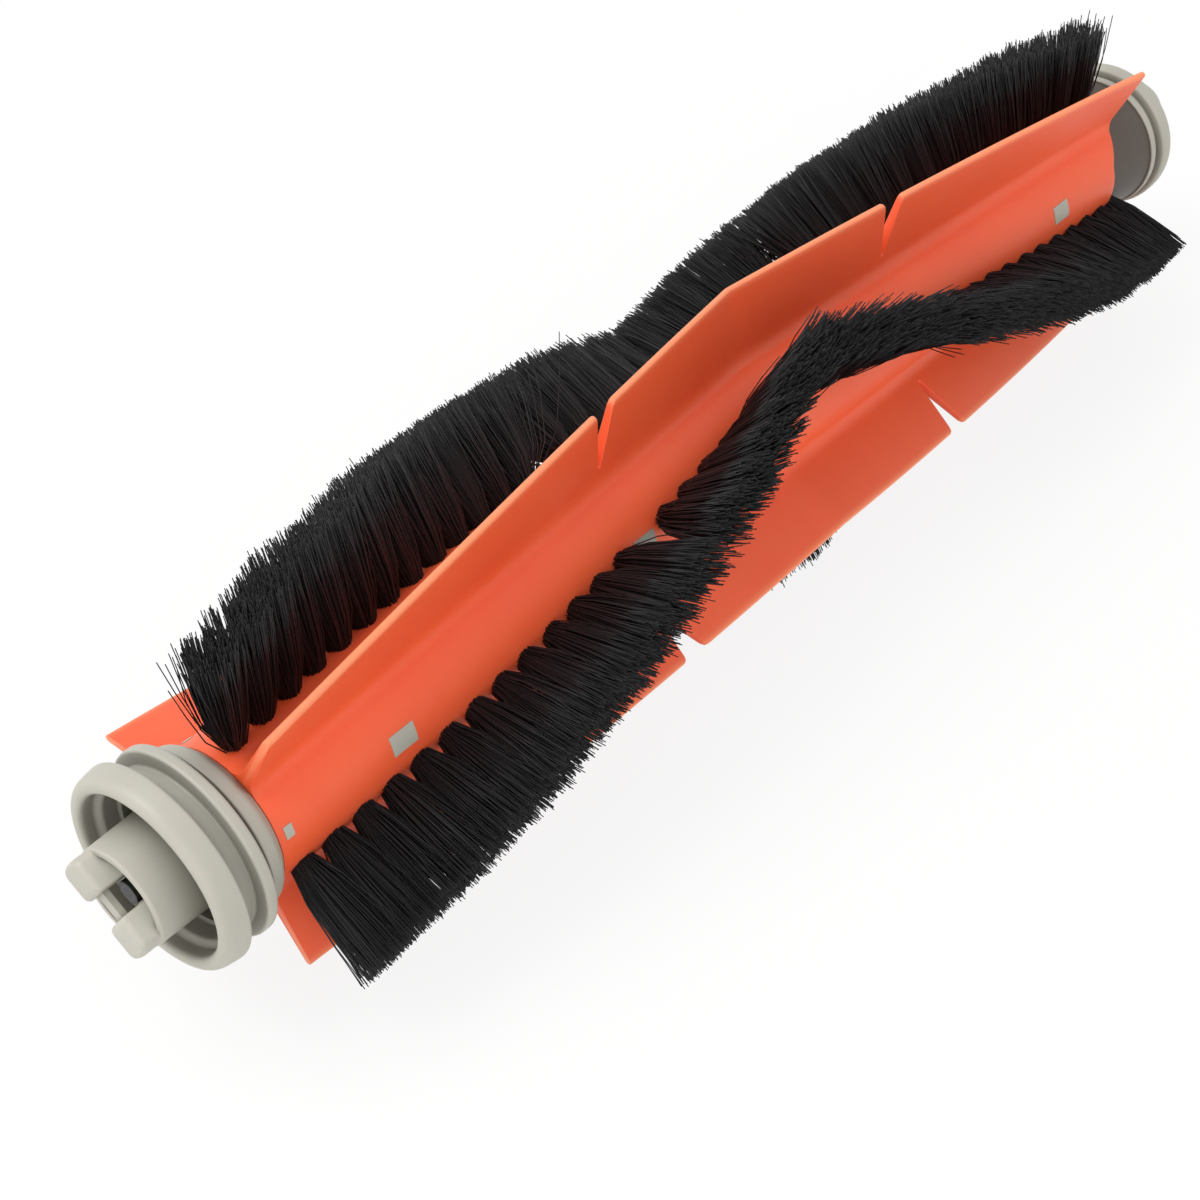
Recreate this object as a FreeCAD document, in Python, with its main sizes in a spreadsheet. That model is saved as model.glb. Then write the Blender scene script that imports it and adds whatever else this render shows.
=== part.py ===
import FreeCAD, Part
import os

import Sketcher
from FreeCAD import Placement, Rotation, Vector

# Driving sizes, in millimetres and degrees
SIZES = (
    ("jaw_reach", 2.0, "jaw tips in front of the hub face"),
    ("moat_depth", 0.9, "jaw root behind the hub face"),
    ("jaw_radius", 5.3, "outside of the two jaws, in front of the hub"),
    ("jaw_width", 4.3, "one jaw, measured across its flats"),
    ("slot_width", 2.9, "gap between the jaws"),
    ("slot_depth", 1.4, "gap between the jaws, down to the web"),
    ("jaw_angle", 34.0, "turn of the jaws about the spin axis"),
    ("screw_pocket_radius", 1.35, "hole between the jaws for the screw head"),
    ("screw_head_radius", 1.25, "screw head"),
    ("screw_head_height", 1.2, "screw head"),
    ("screw_radius", 0.8, "screw shank"),
    ("screw_length", 9.0, "screw shank under the head"),
    ("tail_length", 8.0, "jaw tail inside the core"),
    ("hub_reach", 3.0, "hub face in front of the rim"),
    ("hub_radius", 5.4, "outside of the hub"),
    ("hub_wall", 0.75, "hub tube"),
    ("rim_radius", 11.15, "outside of the wheel rim"),
    ("rim_wall", 2.2, "rim, radially"),
    ("rim_width", 4.2, "rim, along the axis"),
    ("rim_bevel", 0.9, "bevels of the rim's front edges"),
    ("recess_depth", 4.6, "ring-shaped recess behind the rim"),
    ("web_thickness", 1.4, "floor of the recess"),
    ("window_inset", 0.8, "arc windows in the recess floor, from the hub"),
    ("window_band", 2.2, "arc windows in the recess floor, radially"),
    ("window_sweep", 90.0, "arc windows in the recess floor, as an angle"),
    ("window_angle", 38.0, "turn of the windows about the spin axis"),
    ("groove_width", 1.7, "groove between rim and wheel flange"),
    ("groove_radius", 9.5, "floor of that groove"),
    ("flange_width", 1.0, "wheel flange"),
    ("flange_radius", 10.4, "wheel flange"),
    ("step_width", 0.9, "step behind the wheel flange"),
    ("step_radius", 9.0, "step behind the wheel flange"),
    ("neck_length", 1.8, "cone between step and sleeve"),
    ("neck_front_radius", 8.4, "wide end of the cone"),
    ("neck_back_radius", 7.6, "narrow end of the cone"),
    ("spigot_radius", 5.6, "core end inside the wheel"),
    ("core_radius", 6.4, "core under the sleeve"),
    ("core_bore", 3.4, "bore through the core"),
    ("sleeve_length", 150.0, "rubber sleeve and its blades"),
    ("sleeve_radius", 7.8, "rubber sleeve between the blades"),
    ("sleeve_gap", 0.1, "moulding gap between sleeve and core"),
    ("vertex_shift", 2.0, "chevron point past the middle of the sleeve"),
    ("blade_radius", 17.0, "blade crests"),
    ("blade_crest", 1.1, "blade thickness at the crest"),
    ("blade_waist", 1.7, "blade thickness above its root"),
    ("blade_waist_height", 1.8, "waist above the sleeve"),
    ("blade_root", 4.2, "blade thickness where it leaves the sleeve"),
    ("blade_crown", 0.35, "rounding of the crest"),
    ("blade_angle", 117.1, "first blade at the sleeve ends"),
    ("blade_sweep", 33.7, "turn of a blade from its ends to its point"),
    ("slit_offset", 25.2, "blade slits from the chevron point"),
    ("slit_mouth", 3.2, "slit at the crest"),
    ("slit_floor", 1.0, "slit at its bottom"),
    ("slit_depth", 5.6, "slit, below the crest"),
    ("row_angle", 89.0, "first bristle row at the sleeve ends"),
    ("row_sweep", 76.1, "turn of a row from its ends to its point"),
    ("tuft_pitch", 3.81, "tuft to tuft along the axis"),
    ("tuft_margin", 2.2, "least distance from a tuft to the sleeve end"),
    ("end_tufts", 13, "tufts in each end segment of a row"),
    ("tuft_hole", 1.5, "half the tuft hole in the sleeve"),
    ("tuft_root", 1.35, "half the tuft at the core"),
    ("tuft_corner", 0.75, "corners cut off the tufts and their holes"),
    ("tuft_tip_along", 1.8, "half the tuft's tip along the axis"),
    ("tuft_tip_across", 2.9, "half the tuft's tip round the axis"),
    ("tuft_seat", 0.1, "gap between tuft and core"),
    ("tip_radius", 19.4, "bristle tips"),
    ("rest_height", 18.7, "axis above the floor, on the flattened tips"),
    ("pad_angle", 162.0, "first line of core pads"),
    ("pad_margin", 16.2, "outer core pads from the sleeve ends"),
    ("pad_length", 3.0, "core pad along the axis"),
    ("pad_width", 3.6, "core pad round the axis"),
    ("pad_gap", 0.15, "gap round a core pad"),
    ("key_margin", 1.3, "small core pads from the drive end of the sleeve"),
    ("key_length", 1.3, "small core pad along the axis"),
    ("key_width", 1.8, "small core pad round the axis"),
    ("end_neck_length", 5.0, "neck of the bearing flange"),
    ("end_neck_radius", 6.9, "neck of the bearing flange"),
    ("end_plate_width", 1.0, "thin plate of the bearing flange"),
    ("end_plate_radius", 8.9, "thin plate of the bearing flange"),
    ("end_groove_width", 0.9, "groove of the bearing flange"),
    ("end_groove_radius", 8.1, "groove of the bearing flange"),
    ("end_ring_width", 2.2, "outer ring of the bearing flange"),
    ("end_ring_radius", 9.5, "outer ring of the bearing flange"),
    ("plug_length", 12.0, "bearing flange plug inside the core"),
    ("axle_radius", 1.5, "steel axle pin"),
    ("cap_gap", 0.6, "bearing cap from the outer ring"),
    ("cap_radius", 6.0, "outside of the bearing cap"),
    ("cap_wall", 0.9, "closed end of the bearing cap"),
    ("cap_bevel", 0.6, "bevel round the closed end"),
    ("bush_radius", 2.6, "outside of the bush"),
    ("bush_length", 4.0, "bush"),
    ("washer_gap", 0.3, "washer from the bush"),
    ("washer_radius", 2.4, "retaining washer"),
    ("washer_thickness", 0.5, "retaining washer"),
    ("washer_room", 0.7, "space round the washer inside the cap"),
    ("axle_tip", 0.3, "axle pin past the washer"),
    ("tip_room", 0.4, "axle pin to the closed end of the cap"),
    ("press_gap", 0.05, "fixed fits, on the radius"),
    ("running_gap", 0.08, "bush on the axle pin, on the radius"),
)
BLADES = 3
BLADE_SPANS = 4
TUBE_TUFTS = 6

doc = FreeCAD.newDocument("roller_brush")
sheet = doc.addObject("Spreadsheet::Sheet", "sizes")
for row, (alias, number, note) in enumerate(SIZES, start=1):
    sheet.set("A%d" % row, note)
    sheet.set("B%d" % row, str(number))
    sheet.setAlias("B%d" % row, alias)
doc.recompute()


def total(*aliases):
    """Sum of named sizes; a leading minus takes one away."""
    result = 0.0
    for alias in aliases:
        number = float(sheet.get(alias.lstrip("-")))
        result += -number if alias.startswith("-") else number
    return result


def formula(*aliases):
    """The same sum, as an expression on the sheet."""
    signs = ["-" if alias.startswith("-") else "+" for alias in aliases]
    terms = ["%s sizes.%s" % (sign, alias.lstrip("-")) for sign, alias in zip(signs, aliases)]
    return "0 mm " + " ".join(term + " * 1 mm" for term in terms)


# Stations along the spin axis, from the jaw tips
HUB_FACE = ("jaw_reach",)
JAW_SEAT = HUB_FACE + ("-press_gap",)
JAW_ROOT = HUB_FACE + ("moat_depth",)
RIM_FRONT = HUB_FACE + ("hub_reach",)
RECESS_FLOOR = RIM_FRONT + ("recess_depth",)
WEB_BACK = RECESS_FLOOR + ("web_thickness",)
RIM_BACK = RIM_FRONT + ("rim_width",)
FLANGE_FRONT = RIM_BACK + ("groove_width",)
FLANGE_BACK = FLANGE_FRONT + ("flange_width",)
STEP_BACK = FLANGE_BACK + ("step_width",)
SLEEVE_START = STEP_BACK + ("neck_length",)
SLEEVE_END = SLEEVE_START + ("sleeve_length",)
TAIL_END = SLEEVE_START + ("tail_length",)
SCREW_SEAT = JAW_ROOT + ("screw_head_height",)
SCREW_END = SCREW_SEAT + ("screw_length",)
PLATE_FRONT = SLEEVE_END + ("end_neck_length",)
PLATE_BACK = PLATE_FRONT + ("end_plate_width",)
RING_FRONT = PLATE_BACK + ("end_groove_width",)
RING_BACK = RING_FRONT + ("end_ring_width",)
PLUG_END = SLEEVE_END + ("-plug_length",)
CAP_FRONT = RING_BACK + ("cap_gap",)
BUSH_BACK = CAP_FRONT + ("bush_length",)
WASHER_FRONT = BUSH_BACK + ("washer_gap",)
WASHER_BACK = WASHER_FRONT + ("washer_thickness",)
AXLE_END = WASHER_BACK + ("axle_tip",)
CAVITY_END = AXLE_END + ("tip_room",)
CAP_END = CAVITY_END + ("cap_wall",)

# Radii that follow from a fit or a wall
HUB_BORE = ("hub_radius", "-hub_wall")
BOSS_RADIUS = HUB_BORE + ("-press_gap",)
RIM_INSIDE = ("rim_radius", "-rim_wall")
NECK_BORE = ("spigot_radius", "press_gap")
PLUG_RADIUS = ("core_bore", "-press_gap")
SCREW_BORE = ("screw_radius", "press_gap")
AXLE_BORE = ("axle_radius", "press_gap")
BUSH_BORE = ("axle_radius", "running_gap")
CAP_BORE = ("bush_radius", "press_gap")
CAVITY_RADIUS = ("washer_radius", "washer_room")


def fix(sketch, kind, line, aliases):
    """Tie the start of a profile line to the sheet, or to an axis when no size is named."""
    if not aliases:
        axis = -2 if kind == "DistanceX" else -1
        sketch.addConstraint(Sketcher.Constraint("PointOnObject", line, 1, axis))
        return
    distance = Sketcher.Constraint(kind, -1, 1, line, 1, total(*aliases))
    index = sketch.addConstraint(distance)
    sketch.setExpression("Constraints[%d]" % index, formula(*aliases))


def profile(body, name, outline):
    """Closed sketch of (station, radius) corners, with the spin axis as its first axis."""
    sketch = body.newObject("Sketcher::SketchObject", name)
    plane = [item for item in body.Origin.OriginFeatures if item.Role == "XY_Plane"][0]
    sketch.AttachmentSupport = [(plane, "")]
    sketch.MapMode = "FlatFace"
    corners = [Vector(total(*station), total(*radius), 0) for station, radius in outline]
    for start, end in zip(corners, corners[1:] + corners[:1]):
        sketch.addGeometry(Part.LineSegment(start, end), False)
    for line, (station, radius) in enumerate(outline):
        following = (line + 1) % len(outline)
        sketch.addConstraint(Sketcher.Constraint("Coincident", line, 2, following, 1))
        fix(sketch, "DistanceX", line, station)
        fix(sketch, "DistanceY", line, radius)
    return sketch


def turned(label, outline):
    """Body of revolution about the spin axis."""
    body = doc.addObject("PartDesign::Body", label)
    body.Label = label
    sketch = profile(body, label + "_profile", outline)
    turn = body.newObject("PartDesign::Revolution", label + "_turn")
    turn.Profile = sketch
    turn.ReferenceAxis = (sketch, ["H_Axis"])
    turn.Angle = 360
    doc.recompute()
    return body


def turn_about_axis(item, angle):
    """Turn a finished piece about the spin axis by a size of the sheet."""
    item.Placement = Placement(Vector(), Rotation(Vector(1, 0, 0), total(angle)))
    item.setExpression("Placement.Rotation.Angle", "sizes.%s * 1 deg" % angle)


def box(name, x, y, z):
    """Box between two expressions along each axis."""
    item = doc.addObject("Part::Box", name)
    for edge, base, (low, high) in zip(("Length", "Width", "Height"), "xyz", (x, y, z)):
        item.setExpression("Placement.Base.%s" % base, low)
        item.setExpression(edge, "(%s) - (%s)" % (high, low))
    return item


def cut(label, base, tool):
    """Named boolean cut."""
    item = doc.addObject("Part::Cut", label)
    item.Label = label
    item.Base = base
    item.Tool = tool
    return item


def solid(label, shape):
    """Piece whose shape is worked out here from the sheet."""
    item = doc.addObject("Part::Feature", label)
    item.Label = label
    item.Shape = shape
    return item


# Drive wheel: rim, groove, flange and cone in one moulding, with two arc windows in its floor
wheel = turned("drive_wheel", (
    (HUB_FACE, HUB_BORE),
    (HUB_FACE, ("hub_radius",)),
    (RECESS_FLOOR, ("hub_radius",)),
    (RECESS_FLOOR, RIM_INSIDE),
    (RIM_FRONT + ("rim_bevel",), RIM_INSIDE),
    (RIM_FRONT, RIM_INSIDE + ("rim_bevel",)),
    (RIM_FRONT, ("rim_radius", "-rim_bevel")),
    (RIM_FRONT + ("rim_bevel",), ("rim_radius",)),
    (RIM_BACK, ("rim_radius",)),
    (RIM_BACK, ("groove_radius",)),
    (FLANGE_FRONT, ("groove_radius",)),
    (FLANGE_FRONT, ("flange_radius",)),
    (FLANGE_BACK, ("flange_radius",)),
    (FLANGE_BACK, ("step_radius",)),
    (STEP_BACK, ("step_radius",)),
    (STEP_BACK, ("neck_front_radius",)),
    (SLEEVE_START, ("neck_back_radius",)),
    (SLEEVE_START, NECK_BORE),
    (WEB_BACK, NECK_BORE),
    (WEB_BACK, HUB_BORE),
))
window_outline = profile(wheel, "window_profile", (
    (RIM_FRONT, ("hub_radius", "window_inset")),
    (RIM_FRONT, ("hub_radius", "window_inset", "window_band")),
    (FLANGE_BACK, ("hub_radius", "window_inset", "window_band")),
    (FLANGE_BACK, ("hub_radius", "window_inset")),
))
window = wheel.newObject("PartDesign::Groove", "window_cut")
window.Profile = window_outline
window.ReferenceAxis = (window_outline, ["H_Axis"])
window.Midplane = True
window.setExpression("Angle", "sizes.window_sweep * 1 deg")
windows = wheel.newObject("PartDesign::PolarPattern", "window_pair")
windows.Originals = [window]
windows.Axis = (window_outline, ["H_Axis"])
windows.Angle = 360
windows.Occurrences = 2
wheel.Tip = windows
turn_about_axis(wheel, "window_angle")

# Jaw coupling: stepped plug in the hub and core, its front cut down to two jaws and a low web
jaw_blank = turned("jaw_blank", (
    ((), ("screw_pocket_radius",)),
    ((), ("jaw_radius",)),
    (JAW_SEAT, ("jaw_radius",)),
    (JAW_SEAT, BOSS_RADIUS),
    (WEB_BACK, BOSS_RADIUS),
    (WEB_BACK, PLUG_RADIUS),
    (TAIL_END, PLUG_RADIUS),
    (TAIL_END, SCREW_BORE),
    (SCREW_SEAT, SCREW_BORE),
    (SCREW_SEAT, ("screw_pocket_radius",)),
))
ACROSS = ("-sizes.jaw_radius * 1 mm", "sizes.jaw_radius * 1 mm")
slot = box(
    "jaw_slot", ("0 mm", "sizes.slot_depth * 1 mm"),
    ("-sizes.slot_width * 0.5 mm", "sizes.slot_width * 0.5 mm"), ACROSS)
side_low = box(
    "jaw_side_low", ("0 mm", formula(*JAW_ROOT)),
    ACROSS, ("-sizes.jaw_radius * 1 mm", "-sizes.jaw_width * 0.5 mm"))
side_high = box(
    "jaw_side_high", ("0 mm", formula(*JAW_ROOT)),
    ACROSS, ("sizes.jaw_width * 0.5 mm", "sizes.jaw_radius * 1 mm"))
slotted = cut("jaw_slotted", jaw_blank, slot)
one_side = cut("jaw_one_side", slotted, side_low)
jaws = cut("jaw_coupling", one_side, side_high)
turn_about_axis(jaws, "jaw_angle")

# Screw that holds the coupling in the core
screw = turned("coupling_screw", (
    (JAW_ROOT, ()),
    (JAW_ROOT, ("screw_head_radius",)),
    (SCREW_SEAT, ("screw_head_radius",)),
    (SCREW_SEAT, ("screw_radius",)),
    (SCREW_END, ("screw_radius",)),
    (SCREW_END, ()),
))

# Core tube with the raised pads that show through the sleeve
core_blank = turned("core_blank", (
    (WEB_BACK, PLUG_RADIUS + ("press_gap",)),
    (WEB_BACK, ("spigot_radius",)),
    (SLEEVE_START, ("spigot_radius",)),
    (SLEEVE_START, ("core_radius",)),
    (SLEEVE_END, ("core_radius",)),
    (SLEEVE_END, ("core_bore",)),
))


def tuft_stations():
    """Evenly spaced tuft places between the sleeve ends, with their numbers."""
    room = total("sleeve_length", "-tuft_margin", "-tuft_margin")
    count = int(room / total("tuft_pitch")) + 1
    first = total(*SLEEVE_START) + (total("sleeve_length") - (count - 1) * total("tuft_pitch")) / 2
    return [first + number * total("tuft_pitch") for number in range(count)]


def gap_numbers():
    """The two tuft places left empty between the segments of a row."""
    end = int(total("end_tufts"))
    return end, len(tuft_stations()) - 1 - end


def pad_stations():
    """Core pads near both sleeve ends and in the empty tuft places."""
    places = tuft_stations()
    ends = [total(*SLEEVE_START) + total("pad_margin"), total(*SLEEVE_END) - total("pad_margin")]
    return ends + [places[number] for number in gap_numbers()]


def upright(x, angle):
    """Frame at a station: its Z points away from the spin axis at the given angle."""
    return Placement(Vector(x, 0, 0), Rotation(Vector(1, 0, 0), angle - 90))


def radial_block(x, angle, length, width, low, high):
    """Block that stands away from the axis at a station."""
    block = Part.makeBox(length, width, high - low, Vector(-length / 2, -width / 2, low))
    block.Placement = upright(x, angle)
    return block


def pads(margin, low, high):
    """All pads, on three lines round the core; a wider margin makes their windows in the sleeve."""
    kinds = [(x, total("pad_length"), total("pad_width")) for x in pad_stations()]
    kinds.append((total(*SLEEVE_START) + total("key_margin"), total("key_length"), total("key_width")))
    blocks = []
    for number in range(BLADES):
        angle = total("pad_angle") + number * 360 / BLADES
        for x, length, width in kinds:
            blocks.append(radial_block(x, angle, length + 2 * margin, width + 2 * margin, low, high))
    return blocks


pad_top = Part.makeCylinder(
    total("sleeve_radius", "-sleeve_gap"), total(*SLEEVE_END), Vector(), Vector(1, 0, 0))
pad_blocks = pads(0, total("core_bore", "sleeve_gap"), total("sleeve_radius"))
core_pads = solid("core_pads", Part.makeCompound([block.common(pad_top) for block in pad_blocks]))
core = doc.addObject("Part::Fuse", "core_tube")
core.Label = "core_tube"
core.Base = core_blank
core.Tool = core_pads


def chevron(x):
    """0 at the sleeve ends, 1 at the chevron point."""
    start = total(*SLEEVE_START)
    point = start + total("sleeve_length") / 2 + total("vertex_shift")
    if x < point:
        return (x - start) / (point - start)
    return (total(*SLEEVE_END) - x) / (total(*SLEEVE_END) - point)


def blade_angle_at(x):
    return total("blade_angle") - total("blade_sweep") * chevron(x)


def row_angle_at(x):
    return total("row_angle") - total("row_sweep") * chevron(x)


def blade_section(x):
    """Closed outline of the first blade at one station, from root to crest and back."""
    crest = total("blade_radius")
    side = (
        (total("core_radius", "sleeve_gap"), total("blade_root") / 2),
        (total("sleeve_radius"), total("blade_root") / 2),
        (total("sleeve_radius", "blade_waist_height"), total("blade_waist") / 2),
        (crest - total("blade_crown"), total("blade_crest") / 2),
        (crest, total("blade_crest") / 2 - total("blade_crown")),
    )
    corners = [Vector(0, -half, height) for height, half in side]
    corners += [Vector(0, half, height) for height, half in reversed(side)]
    frame = upright(x, blade_angle_at(x))
    return Part.makePolygon([frame.multVec(corner) for corner in corners + corners[:1]])


def blade():
    """Chevron blade, ruled between stations on both sides of its point."""
    start = total(*SLEEVE_START)
    end = total(*SLEEVE_END)
    point = start + total("sleeve_length") / 2 + total("vertex_shift")
    rising = [start + (point - start) * span / BLADE_SPANS for span in range(BLADE_SPANS)]
    falling = [point + (end - point) * span / BLADE_SPANS for span in range(BLADE_SPANS + 1)]
    return Part.makeLoft([blade_section(x) for x in rising + falling], True, True)


def slit(x):
    """V-shaped cut through the first blade, steep on the side towards the drive."""
    crest = total("blade_radius")
    bottom = crest - total("slit_depth")
    rise = 2 * total("blade_crown")
    half = total("slit_floor") / 2
    wide = total("slit_mouth") - half
    reach = total("blade_root")
    corners = [(-half, bottom), (half, bottom), (wide, crest + rise), (-half, crest + rise)]
    points = [Vector(along, -reach, height) for along, height in corners]
    wedge = Part.Face(Part.makePolygon(points + points[:1])).extrude(Vector(0, 2 * reach, 0))
    wedge.Placement = upright(x, blade_angle_at(x))
    return wedge


def eight_sided(x, angle, height, along, across):
    """Corners of a flat outline at a height above the axis, its corners cut off at 45 degrees."""
    corner = total("tuft_corner")
    flats = ((along, across - corner), (along - corner, across))
    quarter = [Vector(x_half, y_half, height) for x_half, y_half in flats]
    mirrored = [Vector(-point.x, point.y, height) for point in reversed(quarter)]
    upper = quarter + mirrored
    corners = upper + [Vector(-point.x, -point.y, height) for point in upper]
    frame = upright(x, angle)
    return [frame.multVec(point) for point in corners]


def face(corners):
    """Flat face with straight edges."""
    return Part.Face(Part.makePolygon(corners + corners[:1]))


def tuft_hole(x, angle):
    """Square hole through the sleeve wall."""
    side = 2 * total("tuft_hole")
    return radial_block(x, angle, side, side, total("core_bore"), total("sleeve_radius", "tuft_hole"))


def tuft(x, angle):
    """One tuft: a flared bundle with flat sides, from the core to the bristle tips."""
    base = total("core_radius", "tuft_seat")
    low = eight_sided(x, angle, base, total("tuft_root"), total("tuft_root"))
    high = eight_sided(x, angle, total("tip_radius"), total("tuft_tip_along"), total("tuft_tip_across"))
    faces = [face(low), face(high)]
    for here in range(len(low)):
        before = here - 1
        faces.append(face([low[before], low[here], high[here], high[before]]))
    return Part.makeSolid(Part.makeShell(faces))


def row_tufts(row):
    """Stations and angles of one row's tufts, in its drive, middle and bearing segments."""
    segments = {"drive": [], "middle": [], "bearing": []}
    first_gap, last_gap = gap_numbers()
    for number, x in enumerate(tuft_stations()):
        angle = row_angle_at(x) + row * 360 / BLADES
        if number < first_gap:
            segments["drive"].append((x, angle))
        if first_gap < number < last_gap:
            segments["middle"].append((x, angle))
        if number > last_gap:
            segments["bearing"].append((x, angle))
    return segments


def turned_copies(shape):
    """The same shape three times round the spin axis."""
    copies = []
    for number in range(BLADES):
        copy = shape.copy()
        copy.rotate(Vector(), Vector(1, 0, 0), number * 360 / BLADES)
        copies.append(copy)
    return copies


def end_to_end(radius):
    """Cylinders in a line along the sleeve, which meet between tufts."""
    meetings = [x + total("tuft_pitch") / 2 for x in tuft_stations()[TUBE_TUFTS:-1:TUBE_TUFTS]]
    starts = [total(*SLEEVE_START)] + meetings
    ends = meetings + [total(*SLEEVE_END)]
    cylinders = []
    for start, end in zip(starts, ends):
        cylinders.append(Part.makeCylinder(radius, end - start, Vector(start, 0, 0), Vector(1, 0, 0)))
    return cylinders


# Rubber sleeve: one moulding with its three blades, slit twice each and pierced for tufts and pads
chevron_point = total(*SLEEVE_START) + total("sleeve_length") / 2 + total("vertex_shift")
piercings = []
for offset in (-total("slit_offset"), total("slit_offset")):
    piercings += turned_copies(slit(chevron_point + offset))
piercings += pads(total("pad_gap"), total("core_bore"), total("sleeve_radius", "tuft_hole"))
for row in range(BLADES):
    for places in row_tufts(row).values():
        piercings += [tuft_hole(x, angle) for x, angle in places]
tubes = end_to_end(total("sleeve_radius"))
bores = end_to_end(total("core_radius", "sleeve_gap"))
sleeve_shape = tubes[0].fuse(tubes[1:] + turned_copies(blade())).cut(bores).cut(piercings)
sleeve = solid("rubber_sleeve", sleeve_shape)

# Bristle rows: separate tufts, with the tips that the brush lies on pressed flat
reach = total("tip_radius", "tuft_tip_across")
below_floor = Part.makeBox(
    total(*CAP_END), 2 * reach, reach, Vector(0, -reach, -reach - total("rest_height")))
bristles = []
for row, letter in enumerate("abc"):
    for segment, places in row_tufts(row).items():
        tufts = [tuft(x, angle).cut(below_floor) for x, angle in places]
        bristles.append(solid("bristles_%s_%s" % (letter, segment), Part.makeCompound(tufts)))

# Bearing flange: plug in the core, neck, thin plate, groove and outer ring
flange = turned("bearing_flange", (
    (PLUG_END, AXLE_BORE),
    (PLUG_END, PLUG_RADIUS),
    (SLEEVE_END, PLUG_RADIUS),
    (SLEEVE_END, ("end_neck_radius",)),
    (PLATE_FRONT, ("end_neck_radius",)),
    (PLATE_FRONT, ("end_plate_radius",)),
    (PLATE_BACK, ("end_plate_radius",)),
    (PLATE_BACK, ("end_groove_radius",)),
    (RING_FRONT, ("end_groove_radius",)),
    (RING_FRONT, ("end_ring_radius",)),
    (RING_BACK, ("end_ring_radius",)),
    (RING_BACK, AXLE_BORE),
))

# Steel axle pin, fixed in the flange
axle = turned("axle_pin", (
    (PLUG_END, ()),
    (PLUG_END, ("axle_radius",)),
    (AXLE_END, ("axle_radius",)),
    (AXLE_END, ()),
))

# Bush pressed into the cap, turning on the axle pin
bush = turned("bearing_bush", (
    (CAP_FRONT, BUSH_BORE),
    (CAP_FRONT, ("bush_radius",)),
    (BUSH_BACK, ("bush_radius",)),
    (BUSH_BACK, BUSH_BORE),
))

# Bearing cap: closed cup over the bush, the washer and the end of the axle
cap = turned("bearing_cap", (
    (CAP_FRONT, CAP_BORE),
    (CAP_FRONT, ("cap_radius",)),
    (CAP_END + ("-cap_bevel",), ("cap_radius",)),
    (CAP_END, ("cap_radius", "-cap_bevel")),
    (CAP_END, ()),
    (CAVITY_END, ()),
    (CAVITY_END, CAVITY_RADIUS),
    (BUSH_BACK, CAVITY_RADIUS),
    (BUSH_BACK, CAP_BORE),
))

# Washer on the axle that keeps the cap in place
washer = turned("retaining_washer", (
    (WASHER_FRONT, AXLE_BORE),
    (WASHER_FRONT, ("washer_radius",)),
    (WASHER_BACK, ("washer_radius",)),
    (WASHER_BACK, AXLE_BORE),
))

doc.recompute()
for item in doc.Objects:
    if "Invalid" in item.State or "Error" in item.State:
        raise RuntimeError("failed: " + item.Label)

# Write every finished piece
pieces = [wheel, jaws, screw, core, sleeve, flange, axle, bush, cap, washer] + bristles
for piece in pieces:
    if piece.Shape.isNull() or not piece.Shape.isValid():
        raise RuntimeError("bad shape: " + piece.Label)
os.makedirs("parts", exist_ok=True)
for piece in pieces:
    piece.Shape.exportStep("parts/%s.step" % piece.Label)
    print(piece.Label, len(piece.Shape.Solids), round(piece.Shape.Volume, 2), piece.Shape.BoundBox)
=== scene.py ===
import math

import bmesh
import bpy
import numpy as np
from mathutils import Matrix, Vector


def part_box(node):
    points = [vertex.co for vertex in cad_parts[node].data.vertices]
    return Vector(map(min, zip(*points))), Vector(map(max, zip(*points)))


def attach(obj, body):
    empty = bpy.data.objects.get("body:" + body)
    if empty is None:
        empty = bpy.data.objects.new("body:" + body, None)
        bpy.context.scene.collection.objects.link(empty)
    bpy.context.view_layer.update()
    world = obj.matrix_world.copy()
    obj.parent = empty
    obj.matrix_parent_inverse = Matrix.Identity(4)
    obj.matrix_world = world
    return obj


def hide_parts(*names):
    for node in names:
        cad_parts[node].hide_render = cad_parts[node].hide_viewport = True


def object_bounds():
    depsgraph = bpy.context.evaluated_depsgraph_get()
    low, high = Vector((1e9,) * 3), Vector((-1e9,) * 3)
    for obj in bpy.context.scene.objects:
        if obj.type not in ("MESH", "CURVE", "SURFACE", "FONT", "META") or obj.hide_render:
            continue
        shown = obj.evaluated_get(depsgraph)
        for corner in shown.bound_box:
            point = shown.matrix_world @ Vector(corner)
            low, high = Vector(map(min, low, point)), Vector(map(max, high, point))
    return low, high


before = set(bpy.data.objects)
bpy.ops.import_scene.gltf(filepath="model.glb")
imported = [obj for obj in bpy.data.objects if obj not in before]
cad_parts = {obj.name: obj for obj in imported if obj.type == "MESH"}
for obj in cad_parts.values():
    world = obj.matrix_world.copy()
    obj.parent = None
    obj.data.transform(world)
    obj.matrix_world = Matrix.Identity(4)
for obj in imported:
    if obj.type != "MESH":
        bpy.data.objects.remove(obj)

cad_box = [list(corner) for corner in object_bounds()]


# Core spindle
# The moulded grey ABS tube that carries everything. Only its pads show, flush in the sleeve's windows.
# It is made as a turned tube with curved pads standing on it.
MM = 0.001
THIRD_TURN = 120
THIRDS = (0, THIRD_TURN, 2 * THIRD_TURN)
TURN_STEPS = 128
ROUNDING_STEPS = 6
ROUNDING_LIMIT = 0.49
WELD_DISTANCE = 0.0005
SHARP_ANGLE = 38

ABS_LIGHT = "#BAB7AB"
ABS_DARK = "#AEAB9F"
# The darker grey that is painted as shade into corners and recesses.
ABS_PAINTED_SHADE = "#77746A"
ABS_CLOUD = 7
# Spark erosion leaves a grain of about 0.05 mm; it is drawn coarser so that it shows.
ABS_GRAIN = 0.35
ABS_GRAIN_DEPTH = 0.05
WHEEL_SHELTER = 6


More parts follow.
